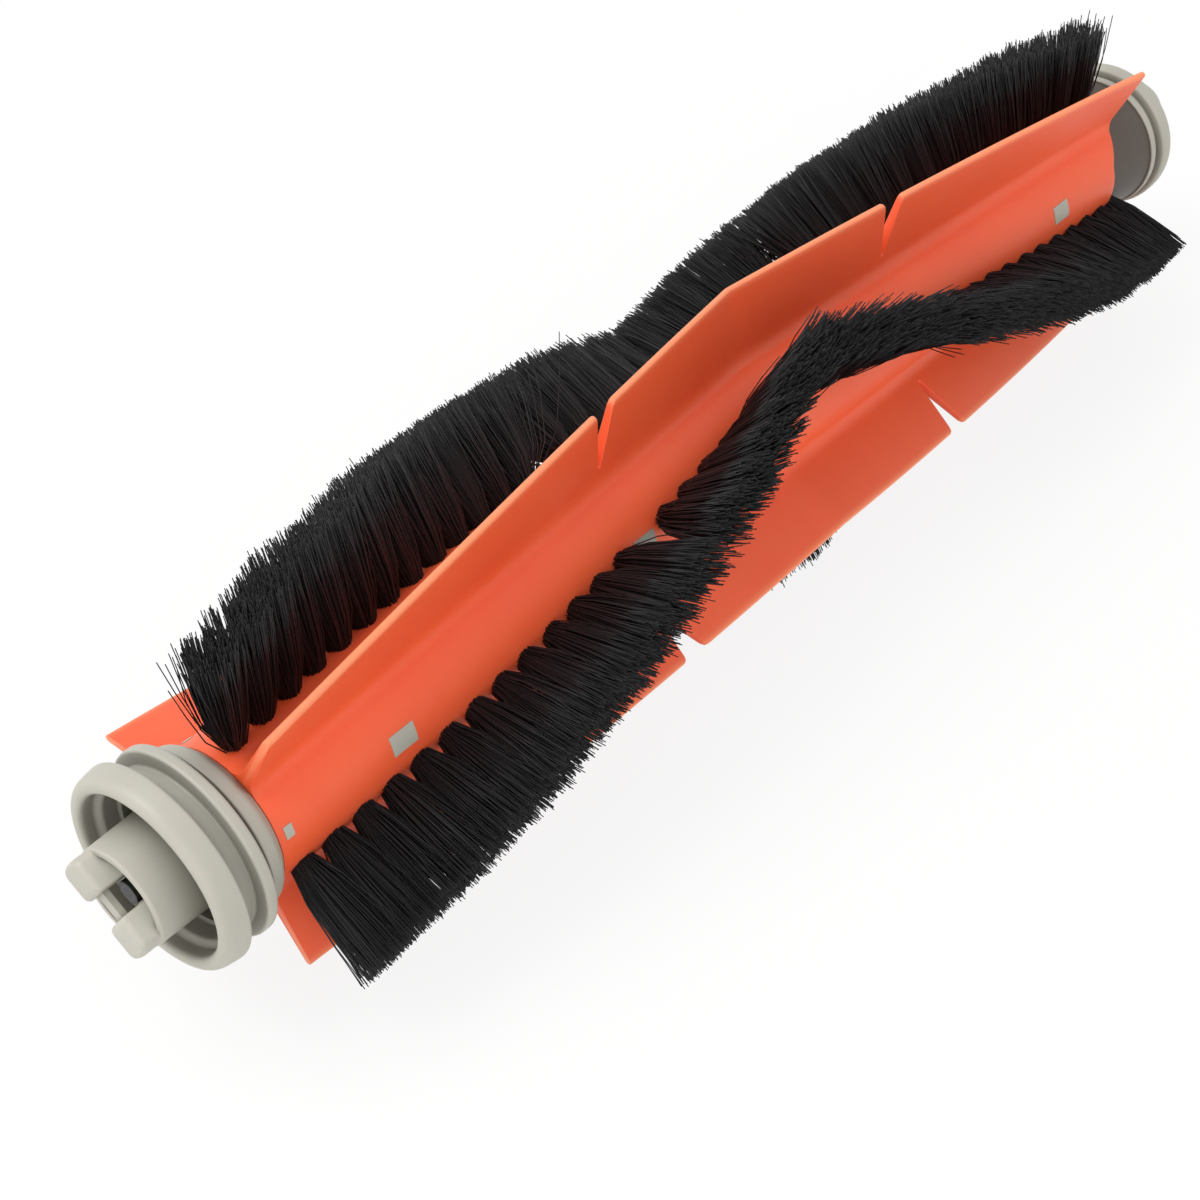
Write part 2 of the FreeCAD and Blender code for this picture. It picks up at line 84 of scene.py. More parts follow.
def linear(colour):
    """sRGB hex to linear RGBA."""
    parts = [int(colour[place:place + 2], 16) / 255 for place in (1, 3, 5)]
    return [part / 12.92 if part <= 0.04045 else ((part + 0.055) / 1.055) ** 2.4 for part in parts] + [1.0]


def add_node(tree, kind, settings=None, links=None):
    """Adds one shader node, fills its settings and feeds its sockets."""
    made = tree.nodes.new(kind)
    for key, value in (settings or {}).items():
        if isinstance(key, str) and hasattr(made, key):
            setattr(made, key, value)
        else:
            made.inputs[key].default_value = value
    for socket, source in (links or {}).items():
        tree.links.new(source, made.inputs[socket])
    return made


def per_metre(size_mm):
    """Texture scale for a pattern whose cells are that many millimetres."""
    return 1 / (size_mm * MM)


def start_material(name):
    """A new material with its node tree and its shader."""
    material = bpy.data.materials.new(name)
    material.use_nodes = True
    return material, material.node_tree, material.node_tree.nodes["Principled BSDF"]


def moulded_abs(name, light, dark, shelter_mm, dark_face=None):
    """ABS from a spark-finished mould: matt satin, faintly cloudy and finely grained.

    Corners narrower than shelter_mm are darkened with painted shade, and dark brown lies where the mesh is
    marked for it."""
    material, tree, shader = start_material(name)
    place = add_node(tree, "ShaderNodeTexCoord").outputs["Object"]
    cloud = add_node(
        tree, "ShaderNodeTexNoise", {"Scale": per_metre(ABS_CLOUD), "Detail": 3.0}, {"Vector": place})
    tint = add_node(
        tree, "ShaderNodeMix", {"data_type": "RGBA", 6: linear(dark), 7: linear(light)},
        {"Factor": cloud.outputs["Fac"]})
    # Painted shade: the colour darkens towards the corner colour wherever other surfaces close in within
    # shelter_mm.
    shelter = add_node(tree, "ShaderNodeAmbientOcclusion", {"samples": 6, "Distance": shelter_mm * MM})
    open_air = add_node(
        tree, "ShaderNodeMapRange", {"From Min": 0.25, "From Max": 0.8}, {"Value": shelter.outputs["AO"]})
    corner = add_node(
        tree, "ShaderNodeMix", {"data_type": "RGBA", 6: linear(ABS_PAINTED_SHADE)},
        {"Factor": open_air.outputs["Result"], 7: tint.outputs[2]})
    grain = add_node(
        tree, "ShaderNodeTexNoise", {"Scale": per_metre(ABS_GRAIN), "Detail": 2.0}, {"Vector": place})
    rough = add_node(
        tree, "ShaderNodeMapRange", {"To Min": 0.40, "To Max": 0.56}, {"Value": grain.outputs["Fac"]})
    bump = add_node(
        tree, "ShaderNodeBump", {"Strength": 0.12, "Distance": ABS_GRAIN_DEPTH * MM},
        {"Height": grain.outputs["Fac"]})
    colour = corner.outputs[2]
    if dark_face:
        mark = add_node(tree, "ShaderNodeAttribute", {"attribute_name": "dark_face"})
        film = add_node(
            tree, "ShaderNodeMix", {"data_type": "RGBA", 7: linear(dark_face)},
            {"Factor": mark.outputs["Fac"], 6: colour})
        colour = film.outputs[2]
    tree.links.new(colour, shader.inputs["Base Color"])
    tree.links.new(rough.outputs["Result"], shader.inputs["Roughness"])
    tree.links.new(bump.outputs["Normal"], shader.inputs["Normal"])
    shader.inputs["IOR"].default_value = 1.53
    shader.inputs["Subsurface Weight"].default_value = 0.06
    shader.inputs["Subsurface Scale"].default_value = 1.0 * MM
    return material


def mesh_piece(name, points, faces, material, body, slot):
    """A smooth-shaded piece from points in millimetres, riding on a body."""
    mesh = bpy.data.meshes.new(name)
    mesh.from_pydata((np.asarray(points, float) * MM).tolist(), [], [list(map(int, face)) for face in faces])
    work = bmesh.new()
    work.from_mesh(mesh)
    bmesh.ops.remove_doubles(work, verts=work.verts, dist=WELD_DISTANCE * MM)
    bmesh.ops.recalc_face_normals(work, faces=work.faces)
    work.to_mesh(mesh)
    work.free()
    mesh.polygons.foreach_set("use_smooth", [True] * len(mesh.polygons))
    mesh.set_sharp_from_angle(angle=math.radians(SHARP_ANGLE))
    mesh.materials.append(material)
    piece = bpy.data.objects.new(name, mesh)
    bpy.context.scene.collection.objects.link(piece)
    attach(piece, body)
    return piece


def rounded(corners):
    """Closed outline of (station, radius, rounding) corners with each rounding drawn as a curve."""
    outline = []
    for number, (x, r, rounding) in enumerate(corners):
        corner = np.array([x, r], float)
        before = np.array(corners[number - 1][:2], float) - corner
        after = np.array(corners[(number + 1) % len(corners)][:2], float) - corner
        if rounding == 0:
            outline.append(corner)
            continue
        start = corner + before * min(rounding / np.linalg.norm(before), ROUNDING_LIMIT)
        end = corner + after * min(rounding / np.linalg.norm(after), ROUNDING_LIMIT)
        for share in np.linspace(0, 1, ROUNDING_STEPS):
            outline.append((1 - share) ** 2 * start + 2 * share * (1 - share) * corner + share ** 2 * end)
    return np.array(outline)


def loop_faces(rows, count, closed):
    """Faces between neighbouring loops of count points, and from the last loop to the first if closed."""
    faces = []
    for row in range(rows if closed else rows - 1):
        ahead = (row + 1) % rows
        for corner in range(count):
            next_corner = (corner + 1) % count
            faces.append((row * count + corner, row * count + next_corner,
                          ahead * count + next_corner, ahead * count + corner))
    return faces


def turned(outline, low=0.0, sweep=360.0, steps=TURN_STEPS):
    """Points and faces of an outline turned about the spin axis, all the way or over an arc."""
    closed = sweep >= 360
    angles = np.radians(low + np.linspace(0, sweep, steps, endpoint=not closed))
    x = np.repeat(outline[None, :, 0], steps, 0)
    y = outline[None, :, 1] * np.cos(angles)[:, None]
    z = outline[None, :, 1] * np.sin(angles)[:, None]
    count = len(outline)
    faces = loop_faces(steps, count, closed)
    if not closed:
        faces.append(tuple(range(count)))
        faces.append(tuple((steps - 1) * count + corner for corner in range(count)))
    return np.stack([x, y, z], -1).reshape(-1, 3), faces


def joined(*parts):
    """Several point and face sets as one."""
    points = []
    faces = []
    for part_points, part_faces in parts:
        shift = sum(len(block) for block in points)
        points.append(np.asarray(part_points, float))
        faces += [tuple(corner + shift for corner in face) for face in part_faces]
    return np.concatenate(points), faces


sleeve_low, sleeve_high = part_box("rubber_sleeve")
SLEEVE_START = sleeve_low.x / MM
SLEEVE_END = sleeve_high.x / MM
SLEEVE_RADIUS = 7.8
CORE_RADIUS = 6.4
CORE_BORE = 3.4
SPIGOT_RADIUS = 5.6
CORE_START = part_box("core_tube")[0].x / MM
TUFT_PITCH = 3.81
TUFT_PLACES = 39
GAP_PLACES = (13, 25)
FIRST_TUFT = (SLEEVE_START + SLEEVE_END - (TUFT_PLACES - 1) * TUFT_PITCH) / 2
PAD_ANGLE = 162.0
PAD_MARGIN = 16.2
PAD_SIZE = (4.4, 3.1)
PAD_PROUD = 0.06
PAD_EDGE_DROP = 0.05
PAD_EDGE_POWER = 6
PAD_SINK = 0.2
PAD_RIM = 0.99
PAD_STEPS = 8
KEY_MARGIN = 1.3
KEY_SIZE = (1.4, 1.9)


def pad(x, angle, size):
    """Curved pad: a softly edged patch on a cylinder, with its sides down to the core."""
    share = np.linspace(-1, 1, PAD_STEPS)
    along, around = np.meshgrid(share, share, indexing="ij")
    edge = np.maximum(np.abs(along), np.abs(around))
    top = SLEEVE_RADIUS + PAD_PROUD - PAD_EDGE_DROP * edge ** PAD_EDGE_POWER
    height = np.where(edge > PAD_RIM, CORE_RADIUS - PAD_SINK, top)
    turn = np.radians(angle) + around * size[1] / 2 / SLEEVE_RADIUS
    points = np.stack([x + along * size[0] / 2, height * np.cos(turn), height * np.sin(turn)], -1)
    faces = []
    for row in range(PAD_STEPS - 1):
        for column in range(PAD_STEPS - 1):
            here = row * PAD_STEPS + column
            faces.append((here, here + 1, here + PAD_STEPS + 1, here + PAD_STEPS))
    return points.reshape(-1, 3), faces


pad_stations = [SLEEVE_START + PAD_MARGIN, SLEEVE_END - PAD_MARGIN]
pad_stations += [FIRST_TUFT + place * TUFT_PITCH for place in GAP_PLACES]
core_outline = rounded((
    (CORE_START, CORE_BORE, 0), (CORE_START, SPIGOT_RADIUS, 0.2),
    (SLEEVE_START, SPIGOT_RADIUS, 0), (SLEEVE_START, CORE_RADIUS, 0),
    (SLEEVE_END, CORE_RADIUS, 0), (SLEEVE_END, CORE_BORE, 0),
))
core_pads = [pad(x, PAD_ANGLE + third, PAD_SIZE) for x in pad_stations for third in THIRDS]
core_pads += [pad(SLEEVE_START + KEY_MARGIN, PAD_ANGLE + third, KEY_SIZE) for third in THIRDS]
grey_abs = moulded_abs("warm_grey_ABS", ABS_LIGHT, ABS_DARK, WHEEL_SHELTER)
core = mesh_piece("core_spindle", *joined(turned(core_outline), *core_pads), grey_abs, "roller", "grey_abs")
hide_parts("core_tube")


# Rubber sleeve
# One overmoulded piece of orange TPE: a thin tube with three chevron wiper blades, each slit twice so
# that it can flex. The blades thin towards the crest, where a paler orange is painted in as light shining
# through.
VERTEX_SHIFT = 2.0
BLADE_RADIUS = 17.0
BLADE_ANGLE = 117.1
BLADE_SWEEP = 33.7
CREST_HALF = 0.38
WAIST_HALF = 0.72
WAIST_HEIGHT = 9.2
ROOT_HALF = 2.2
ROOT_HEIGHT = math.sqrt(SLEEVE_RADIUS ** 2 - ROOT_HALF ** 2)
CROWN = 0.32
SLIT_OFFSET = 25.2
SLIT_FLOOR = 9.85
# The slit's edge as (distance along the blade, height): one steep side, a round floor, one slanted side.
SLIT_PROFILE = (
    (-1.0, BLADE_RADIUS), (-0.75, BLADE_RADIUS - 0.12), (-0.64, BLADE_RADIUS - 0.5),
    (-0.3, SLIT_FLOOR + 0.3), (-0.1, SLIT_FLOOR), (0.15, SLIT_FLOOR + 0.2),
    (2.15, BLADE_RADIUS - 0.45), (2.4, BLADE_RADIUS - 0.1), (2.75, BLADE_RADIUS),
)
SLIT_REACH = (-1.05, 2.8)
SLIT_STATIONS = 51
EVEN_STATIONS = 121
CLOSEST_STATIONS = 0.02
FACE_STEPS = 16
ROOT_STEPS = 8
CROWN_STEPS = 5
TROUGH_STEPS = 16
# The far end is cut back, little at each blade and more in the trough between blades.
CUT_BLADE = 0.7
CUT_TROUGH = 3.4
CUT_SPREAD = 42.0
CUT_LENGTH = 9.0
SLEEVE_BORE = CORE_RADIUS + 0.1
THIN_DEPTH = 1.1
CHEVRON_POINT = (SLEEVE_START + SLEEVE_END) / 2 + VERTEX_SHIFT


def chevron(x):
    """0 at the sleeve ends, 1 at the chevron point."""
    rising = (x - SLEEVE_START) / (CHEVRON_POINT - SLEEVE_START)
    falling = (SLEEVE_END - x) / (SLEEVE_END - CHEVRON_POINT)
    return np.minimum(rising, falling)


def blade_half(height):
    """Half the blade's thickness at a height: a slim taper on a rounded root."""
    taper = CREST_HALF + (WAIST_HALF - CREST_HALF) * (BLADE_RADIUS - height) / (BLADE_RADIUS - WAIST_HEIGHT)
    depth = np.clip((WAIST_HEIGHT - height) / (WAIST_HEIGHT - ROOT_HEIGHT), 0, 1)
    flare = (ROOT_HALF - WAIST_HALF) * (1 - np.sqrt(1 - depth ** 2))
    return np.where(height > WAIST_HEIGHT, taper, WAIST_HALF + flare)


def blade_top(x):
    """Crest height along the sleeve, with a V-shaped slit each side of the chevron point."""
    along, height = zip(*SLIT_PROFILE)
    top = np.full_like(x, BLADE_RADIUS)
    for side in (-1, 1):
        middle = CHEVRON_POINT + side * SLIT_OFFSET
        top = np.minimum(top, np.interp(x, middle + np.array(along), height))
    return top


def sleeve_stations():
    """Even stations, with close ones across the slits."""
    even = np.linspace(SLEEVE_START, SLEEVE_END, EVEN_STATIONS)
    across = np.linspace(*SLIT_REACH, SLIT_STATIONS)
    slits = [CHEVRON_POINT + side * SLIT_OFFSET + across for side in (-1, 1)]
    stations = np.concatenate([even, [CHEVRON_POINT]] + slits)
    stations.sort()
    return stations[np.concatenate([[True], np.diff(stations) > CLOSEST_STATIONS])]


def sleeve_section(x, top):
    """Radii and angles of the closed loop once round the sleeve at one station."""
    root = ROOT_HEIGHT + (WAIST_HEIGHT - ROOT_HEIGHT) * (1 - np.cos(np.linspace(0, math.pi / 2, ROOT_STEPS)))
    face = np.linspace(WAIST_HEIGHT, top - CROWN, FACE_STEPS)[1:]
    heights = np.concatenate([root, face])
    halves = blade_half(heights)
    turn = np.linspace(0, math.pi / 2, CROWN_STEPS)[1:]
    heights = np.concatenate([heights, top - CROWN + CROWN * np.sin(turn)])
    halves = np.concatenate([halves, halves[-1] * np.cos(turn)])
    heights = np.concatenate([heights, heights[-2::-1]])
    halves = np.concatenate([-halves, halves[-2::-1]])
    radius = np.hypot(heights, halves)
    offset = np.degrees(np.arctan2(halves, heights))
    trough = np.linspace(offset[-1], THIRD_TURN + offset[0], TROUGH_STEPS + 2)[1:-1]
    radius = np.concatenate([radius, np.full(TROUGH_STEPS, SLEEVE_RADIUS)])
    offset = np.concatenate([offset, trough])
    middle = BLADE_ANGLE - BLADE_SWEEP * chevron(x)
    return np.tile(radius, len(THIRDS)), np.concatenate([middle + third + offset for third in THIRDS])


def sleeve_mesh():
    """Skin of the sleeve from end to end, closed by its end faces and its bore."""
    stations = sleeve_stations()
    loops = []
    for x, top in zip(stations, blade_top(stations)):
        radius, angle = sleeve_section(x, top)
        turn = np.radians(angle)
        past_blade = angle - BLADE_ANGLE + BLADE_SWEEP * chevron(x)
        aside = np.abs((past_blade + THIRD_TURN / 2) % THIRD_TURN - THIRD_TURN / 2)
        depth = CUT_BLADE + (CUT_TROUGH - CUT_BLADE) * np.minimum(aside / CUT_SPREAD, 1)
        cut = depth * max(1 - (SLEEVE_END - x) / CUT_LENGTH, 0)
        loops.append(np.stack([x - cut, radius * np.cos(turn), radius * np.sin(turn)], -1))
    bore = []
    for loop in (loops[-1], loops[0]):
        turn = np.arctan2(loop[:, 2], loop[:, 1])
        bore.append(np.stack([loop[:, 0], SLEEVE_BORE * np.cos(turn), SLEEVE_BORE * np.sin(turn)], -1))
    loops += bore
    return np.concatenate(loops), loop_faces(len(loops), len(loops[0]), True)


def moulded_tpe():
    """Soft TPE from a polished mould: satin, slightly see-through, with painted light that makes the thin
    crest paler.
    """
    material, tree, shader = start_material("orange_TPE_rubber")
    place = add_node(tree, "ShaderNodeTexCoord").outputs["Object"]
    cloud_mm, film_mm = 9, 2.5
    # Its real grain is too fine to see; it is drawn at half a millimetre so that the sheen breaks up.
    grain_mm, grain_depth = 0.5, 0.05
    cloud = add_node(
        tree, "ShaderNodeTexNoise", {"Scale": per_metre(cloud_mm), "Detail": 3.0}, {"Vector": place})
    tint = add_node(
        tree, "ShaderNodeMix", {"data_type": "RGBA", 6: linear("#F95D33"), 7: linear("#FF6B3F")},
        {"Factor": cloud.outputs["Fac"]})
    # Painted light: the crest's paler orange stands in for light shining through the thin rubber.
    crest = add_node(tree, "ShaderNodeAttribute", {"attribute_name": "thinness"})
    pale = add_node(
        tree, "ShaderNodeMix", {"data_type": "RGBA", 7: linear("#FF9468")},
        {"Factor": crest.outputs["Fac"], 6: tint.outputs[2]})
    film = add_node(
        tree, "ShaderNodeTexNoise", {"Scale": per_metre(film_mm), "Detail": 4.0}, {"Vector": place})
    rough = add_node(
        tree, "ShaderNodeMapRange", {"To Min": 0.38, "To Max": 0.55}, {"Value": film.outputs["Fac"]})
    grain = add_node(
        tree, "ShaderNodeTexNoise", {"Scale": per_metre(grain_mm), "Detail": 2.0}, {"Vector": place})
    bump = add_node(
        tree, "ShaderNodeBump", {"Strength": 0.08, "Distance": grain_depth * MM},
        {"Height": grain.outputs["Fac"]})
    tree.links.new(pale.outputs[2], shader.inputs["Base Color"])
    tree.links.new(rough.outputs["Result"], shader.inputs["Roughness"])
    tree.links.new(bump.outputs["Normal"], shader.inputs["Normal"])
    shader.inputs["IOR"].default_value = 1.5
    shader.inputs["Subsurface Weight"].default_value = 0.25
    shader.inputs["Subsurface Radius"].default_value = (1.0, 0.45, 0.25)
    shader.inputs["Subsurface Scale"].default_value = 1.2 * MM
    return material


sleeve = mesh_piece("wiper_sleeve", *sleeve_mesh(), moulded_tpe(), "roller", "orange_rubber")
thinness = sleeve.data.attributes.new("thinness", "FLOAT", "POINT")
for vertex, share in zip(sleeve.data.vertices, thinness.data):
    height = math.hypot(vertex.co.y, vertex.co.z) / MM
    share.value = min(max((height - BLADE_RADIUS + THIN_DEPTH) / THIN_DEPTH, 0), 1) ** 2
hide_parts("rubber_sleeve")


# Bristle rows
# Black nylon filaments set in round tufts, three rows in a steep chevron, each row in three segments.
# Every filament is a thin bent prism; tufts spread towards their tips and run together.
ROW_ANGLE = 89.0
ROW_SWEEP = 76.1
ROOT_DEPTH = 7.3
TIP_RADIUS = 19.35
TIP_TAPER = 0.8
# The tips swing round the axis, most near the chevron point.
SWING = -3.8
SWING_SHIFT = 4.5
ROOT_ALONG = 1.25
ROOT_ACROSS = 1.25
TIP_ALONG = 3.2
TIP_ACROSS = 2.8
FAN_POWER = 0.6
# Unevenness: of each filament, and of the tuft as a whole.
LENGTH_SPREAD, TUFT_LENGTH_SPREAD = 0.16, 0.14
SHORTFALL = 0.3
ALONG_SPREAD, TUFT_ALONG_SPREAD = 0.28, 0.12
ACROSS_SPREAD, TUFT_ACROSS_SPREAD = 0.32, 0.2
BOW_ALONG, BOW_ACROSS = 0.16, 0.2
# Tufts beside a gap lean into it, some filaments far more than others, and close it up most in row a.
LEANS = {0: -0.3, 12: 1.0, 14: -1.0, 24: 1.0, 26: -1.0, 38: 0.35}
CLOSE_UP = {"a": 1.9, "b": 1.05, "c": 1.5}
LEAN_LEAST, LEAN_SPREAD = 0.2, 0.85
FILAMENTS = 330
FILAMENT_RADIUS = 0.085
TIP_SLIMMING = 0.25
SIDES = 3
RINGS = (0.0, 0.3, 0.65, 1.0)
# Tips that would reach the floor lie pressed flat just above it.
FLOOR = cad_box[0][2] / MM
FLOOR_CLEARANCE, FLOOR_SPREAD = 0.15, 0.5


def black_nylon():
    """Extruded nylon: near-black and smooth; some filaments are painted a lighter blue-grey as painted sheen,
    and a lower roughness gives them real sheen.
    """
    material, tree, shader = start_material("black_nylon_filament")
    sheen = add_node(tree, "ShaderNodeAttribute", {"attribute_name": "filament_sheen"})
    # Painted sheen: filaments with a higher value are painted a lighter blue-grey.
    tint = add_node(
        tree, "ShaderNodeMix", {"data_type": "RGBA", 6: linear("#0C0C0D"), 7: linear("#1F2024")},
        {"Factor": sheen.outputs["Fac"]})
    rough = add_node(
        tree, "ShaderNodeMapRange", {"To Min": 0.62, "To Max": 0.42}, {"Value": sheen.outputs["Fac"]})
    tree.links.new(tint.outputs[2], shader.inputs["Base Color"])
    tree.links.new(rough.outputs["Result"], shader.inputs["Roughness"])
    shader.inputs["IOR"].default_value = 1.53
    shader.inputs["Specular IOR Level"].default_value = 0.35
    return material


def tuft_filaments(rng, x, angle, lean):
    """Centre lines of one tuft's filaments, as (filament, ring, xyz), leaning along the axis by lean."""
    turn = rng.uniform(0, 2 * math.pi, FILAMENTS)
    spread = np.sqrt(rng.uniform(0, 1, FILAMENTS))
    along = spread * np.cos(turn)
    across = spread * np.sin(turn)
    swing = SWING * chevron(x - SWING_SHIFT) ** 2
    reach = TIP_RADIUS + TIP_TAPER * (CHEVRON_POINT - x) / (CHEVRON_POINT - SLEEVE_START)
    length = math.sqrt(reach ** 2 - swing ** 2)
    length = length + rng.normal(0, LENGTH_SPREAD, FILAMENTS) + rng.normal(0, TUFT_LENGTH_SPREAD)
    length -= rng.exponential(SHORTFALL, FILAMENTS)
    tip_along = along * TIP_ALONG + rng.normal(0, ALONG_SPREAD, FILAMENTS) + rng.normal(0, TUFT_ALONG_SPREAD)
    tip_along += lean * (LEAN_LEAST + rng.exponential(LEAN_SPREAD, FILAMENTS))
    tip_across = across * TIP_ACROSS + rng.normal(0, ACROSS_SPREAD, FILAMENTS)
    tip_across = tip_across + rng.normal(0, TUFT_ACROSS_SPREAD)
    bow_along = rng.normal(0, BOW_ALONG, FILAMENTS)
    bow_across = rng.normal(0, BOW_ACROSS, FILAMENTS)
    lines = []
    for share in RINGS:
        bend = math.sin(math.pi * share)
        fan = share ** FAN_POWER
        out_x = x + along * ROOT_ALONG * (1 - fan) + tip_along * fan + bow_along * bend
        out_t = across * ROOT_ACROSS * (1 - fan) + tip_across * fan + bow_across * bend + swing * share
        out_r = ROOT_DEPTH + (length - ROOT_DEPTH) * share
        y = out_r * math.cos(math.radians(angle)) - out_t * math.sin(math.radians(angle))
        z = out_r * math.sin(math.radians(angle)) + out_t * math.cos(math.radians(angle))
        lines.append(np.stack([out_x, y, z], -1))
    lines = np.stack(lines, 1)
    pressed = FLOOR + FLOOR_CLEARANCE + rng.uniform(0, FLOOR_SPREAD, (FILAMENTS, 1))
    lines[..., 2] = np.maximum(lines[..., 2], pressed)
    return lines


def filament_mesh(lines):
    """Three-sided prisms along the centre lines, tapering a little to a closed tip."""
    count, rings = lines.shape[:2]
    axis = lines[:, -1] - lines[:, 0]
    axis /= np.linalg.norm(axis, axis=1, keepdims=True)
    side = np.cross(axis, [1.0, 0.0, 0.0])
    side /= np.linalg.norm(side, axis=1, keepdims=True)
    other = np.cross(axis, side)
    points = np.zeros((count, rings, SIDES, 3))
    for corner in range(SIDES):
        turn = 2 * math.pi * corner / SIDES
        out = side * math.cos(turn) + other * math.sin(turn)
        for ring in range(rings):
            taper = FILAMENT_RADIUS * (1 - TIP_SLIMMING * ring / (rings - 1))
            points[:, ring, corner] = lines[:, ring] + out * taper
    start = (np.arange(count) * rings * SIDES)[:, None, None, None]
    ring = (np.arange(rings - 1) * SIDES)[None, :, None, None]
    corner = np.arange(SIDES)[None, None, :, None]
    ahead = (corner + 1) % SIDES
    quads = np.concatenate([
        start + ring + corner, start + ring + ahead,
        start + ring + SIDES + ahead, start + ring + SIDES + corner], -1).reshape(-1, 4)
    tips = (np.arange(count) * rings * SIDES)[:, None] + (rings - 1) * SIDES + np.arange(SIDES)[None]
    return points.reshape(-1, 3), quads, tips


def bristle_piece(name, lines, sheens, material):
    """One mesh of filaments, written straight into its arrays because there are so many."""
    points, quads, tips = filament_mesh(lines)
    mesh = bpy.data.meshes.new(name)
    mesh.vertices.add(len(points))
    mesh.vertices.foreach_set("co", (points * MM).astype(np.float32).ravel())
    mesh.loops.add(quads.size + tips.size)
    mesh.loops.foreach_set("vertex_index", np.concatenate([quads.ravel(), tips.ravel()]).astype(np.int32))
    mesh.polygons.add(len(quads) + len(tips))
    starts = np.concatenate([np.arange(len(quads)) * 4, quads.size + np.arange(len(tips)) * SIDES])
    mesh.polygons.foreach_set("loop_start", starts.astype(np.int32))
    mesh.polygons.foreach_set("use_smooth", [True] * (len(quads) + len(tips)))
    mesh.update(calc_edges=True)
    sheen = mesh.attributes.new("filament_sheen", "FLOAT", "POINT")
    sheen.data.foreach_set("value", np.repeat(sheens, len(RINGS) * SIDES).astype(np.float32))
    mesh.materials.append(material)
    piece = bpy.data.objects.new(name, mesh)
    bpy.context.scene.collection.objects.link(piece)
    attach(piece, "roller")
    return piece


nylon = black_nylon()
segments = {
    "drive": range(0, GAP_PLACES[0]),
    "middle": range(GAP_PLACES[0] + 1, GAP_PLACES[1]),
    "bearing": range(GAP_PLACES[1] + 1, TUFT_PLACES),
}
for row, letter in enumerate("abc"):
    for segment, places in segments.items():
        rng = np.random.default_rng(1000 * row + places[0])
        tufts = []
        for place in places:
            x = FIRST_TUFT + place * TUFT_PITCH
            angle = ROW_ANGLE - ROW_SWEEP * chevron(x) + THIRDS[row]
            lean = LEANS.get(place, 0.0) * CLOSE_UP[letter]
            tufts.append(tuft_filaments(rng, x, angle, lean))
        lines = np.concatenate(tufts)
        sheens = rng.uniform(0, 1, len(lines)) ** 2
        piece = bristle_piece("filaments_%s_%s" % (letter, segment), lines, sheens, nylon)
        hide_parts("bristles_%s_%s" % (letter, segment))


# Drive wheel
# Grey ABS wheel at the drive end, moulded in one with its rim, groove, flange and ringed neck.
# A stepped, ring-shaped recess with two arc windows in its floor surrounds the thin-lipped hub.
HUB_FACE = 2.0
HUB_BORE = 4.65
HUB_RADIUS = 5.4
HUB_FOOT = 5.55
RIM_FRONT, RIM_BACK = 5.0, 7.75
RIM_INSIDE, RIM_FRONT_RADIUS, RIM_BACK_RADIUS = 8.95, 10.55, 10.95
RECESS_STEP, RECESS_STEP_END = 6.7, 7.1
RECESS_FLOOR, RECESS_RADIUS, RECESS_STEP_RADIUS = 8.9, 8.2, 8.3
GROOVE_FRONT, GROOVE_BACK, GROOVE_RADIUS = 7.9, 10.0, 8.8
FLANGE_FRONT, FLANGE_BACK, FLANGE_RADIUS = 10.15, 11.4, 10.4
NECK_FRONT, NECK_BACK, NECK_RADIUS = 11.5, 12.0, 8.6
RING_FRONT, RING_BACK, RING_FRONT_RADIUS, RING_BACK_RADIUS = 12.1, 13.6, 9.15, 8.8
SHOULDER_RADIUS = 7.7
SPIGOT_SEAT = 5.65
WINDOW_FLOOR = 13.6
WINDOW_INSIDE, WINDOW_OUTSIDE = 6.2, 7.7
WINDOW_ANGLE = 38.0
WINDOW_SWEEP = 90.0
WEB_OVERLAP = 0.1
WEB_STEPS = 48
wheel_outline = rounded((
    (RECESS_FLOOR, WINDOW_OUTSIDE, 0), (RECESS_FLOOR, RECESS_RADIUS, 0.2),
    (RECESS_STEP_END, RECESS_STEP_RADIUS, 0.3), (RECESS_STEP, RIM_INSIDE, 0.3),
    (RIM_FRONT, RIM_INSIDE, 0.7), (RIM_FRONT, RIM_FRONT_RADIUS, 1.1),
    (RIM_BACK, RIM_BACK_RADIUS, 0.45), (GROOVE_FRONT, GROOVE_RADIUS, 0.3),
    (GROOVE_BACK, GROOVE_RADIUS, 0.3), (FLANGE_FRONT, FLANGE_RADIUS, 0.35),
    (FLANGE_BACK, FLANGE_RADIUS, 0.35), (NECK_FRONT, NECK_RADIUS, 0.2),
    (NECK_BACK, NECK_RADIUS, 0.15), (RING_FRONT, RING_FRONT_RADIUS, 0.3),
    (RING_BACK, RING_BACK_RADIUS, 0.4), (SLEEVE_START, SHOULDER_RADIUS, 0.25),
    (SLEEVE_START, SPIGOT_SEAT, 0), (WINDOW_FLOOR, SPIGOT_SEAT, 0), (WINDOW_FLOOR, WINDOW_OUTSIDE, 0),
))
hub_outline = rounded((
    (HUB_FACE, HUB_BORE, 0.15), (HUB_FACE, HUB_RADIUS, 0.3), (RECESS_FLOOR, HUB_FOOT, 0.4),
    (RECESS_FLOOR, WINDOW_INSIDE, 0), (WINDOW_FLOOR, WINDOW_INSIDE, 0), (WINDOW_FLOOR, HUB_BORE, 0),
))
web_inside = WINDOW_INSIDE - WEB_OVERLAP
web_outside = WINDOW_OUTSIDE + WEB_OVERLAP
web_outline = rounded((
    (RECESS_FLOOR, web_inside, 0), (RECESS_FLOOR, web_outside, 0),
    (WINDOW_FLOOR, web_outside, 0), (WINDOW_FLOOR, web_inside, 0),
))
webs = []
for half in (0, 180):
    webs.append(turned(web_outline, WINDOW_ANGLE + half + WINDOW_SWEEP / 2, 180 - WINDOW_SWEEP, WEB_STEPS))
wheel = mesh_piece(
    "moulded_drive_wheel", *joined(turned(wheel_outline), turned(hub_outline), *webs),
    grey_abs, "roller", "grey_abs")
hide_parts("drive_wheel")


